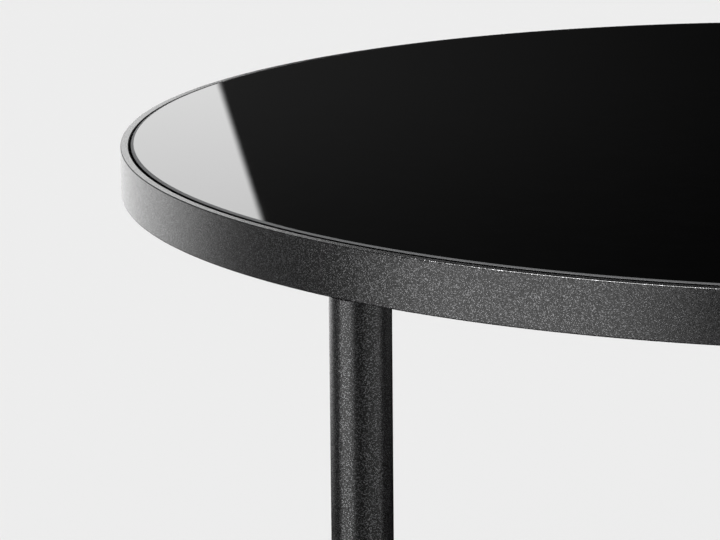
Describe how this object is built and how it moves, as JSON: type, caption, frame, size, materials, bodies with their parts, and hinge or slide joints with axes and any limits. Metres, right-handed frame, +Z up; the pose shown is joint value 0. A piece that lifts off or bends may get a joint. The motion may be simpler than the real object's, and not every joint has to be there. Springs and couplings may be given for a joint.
{
  "type": "nesting tables",
  "caption": "Round nesting tables with black glass tops set in thin steel hoops on slim tubular legs; the small table slides under the large one.",
  "frame": {"origin": "on the floor, at the middle of the pair's bounding box as it stands, with the small table pulled part of the way out", "axes": "+Z up; +X is the way the small table is pulled out, from the large table's axis to the small one's; -Y is the side that the picture is taken from"},
  "size_m": [1.0099, 0.8, 0.4508],
  "materials": {
    "powder_coat": "fine-textured powder coat with a metallic sparkle, satin",
    "black_glass": "polished, opaque black",
    "clear_pad": "clear, smooth",
    "zinc_steel": "bright zinc plate",
    "glide_plastic": "fine matt moulded texture"
  },
  "bodies": {
    "large_table": {"large_hoop": "powder_coat", "large_glass_ledge": "powder_coat", "large_glass_pads": "clear_pad", "large_weld_nuts": "zinc_steel", "large_leg_studs": "zinc_steel", "large_leg_bracket_front_left": "powder_coat", "large_leg_bracket_front_right": "powder_coat", "large_leg_bracket_back_right": "powder_coat", "large_leg_bracket_back_left": "powder_coat", "large_leg_plug_front_left": "zinc_steel", "large_leg_plug_front_right": "zinc_steel", "large_leg_plug_back_right": "zinc_steel", "large_leg_plug_back_left": "zinc_steel", "large_leg_tube_front_left": "powder_coat", "large_leg_tube_front_right": "powder_coat", "large_leg_tube_back_right": "powder_coat", "large_leg_tube_back_left": "powder_coat", "large_foot_glide_front_left": "glide_plastic", "large_foot_glide_front_right": "glide_plastic", "large_foot_glide_back_right": "glide_plastic", "large_foot_glide_back_left": "glide_plastic"},
    "large_glass": {"large_glass_top": "black_glass"},
    "small_table": {"small_hoop": "powder_coat", "small_glass_ledge": "powder_coat", "small_glass_pads": "clear_pad", "small_weld_nuts": "zinc_steel", "small_leg_studs": "zinc_steel", "small_leg_bracket_front_left": "powder_coat", "small_leg_bracket_front_right": "powder_coat", "small_leg_bracket_back_right": "powder_coat", "small_leg_bracket_back_left": "powder_coat", "small_leg_plug_front_left": "zinc_steel", "small_leg_plug_front_right": "zinc_steel", "small_leg_plug_back_right": "zinc_steel", "small_leg_plug_back_left": "zinc_steel", "small_leg_tube_front_left": "powder_coat", "small_leg_tube_front_right": "powder_coat", "small_leg_tube_back_right": "powder_coat", "small_leg_tube_back_left": "powder_coat", "small_foot_glide_front_left": "glide_plastic", "small_foot_glide_front_right": "glide_plastic", "small_foot_glide_back_right": "glide_plastic", "small_foot_glide_back_left": "glide_plastic"},
    "small_glass": {"small_glass_top": "black_glass"}
  },
  "joints": [
    {"name": "small_table_slide", "type": "slide", "parent": "large_table", "child": "small_table", "axis": [1, 0, 0], "range_m": [-0.36, 0.3]},
    {"name": "large_glass_lift", "type": "slide", "parent": "large_table", "child": "large_glass", "axis": [0, 0, 1], "range_m": [0, 0.05]},
    {"name": "small_glass_lift", "type": "slide", "parent": "small_table", "child": "small_glass", "axis": [0, 0, 1], "range_m": [0, 0.012]}
  ]
}
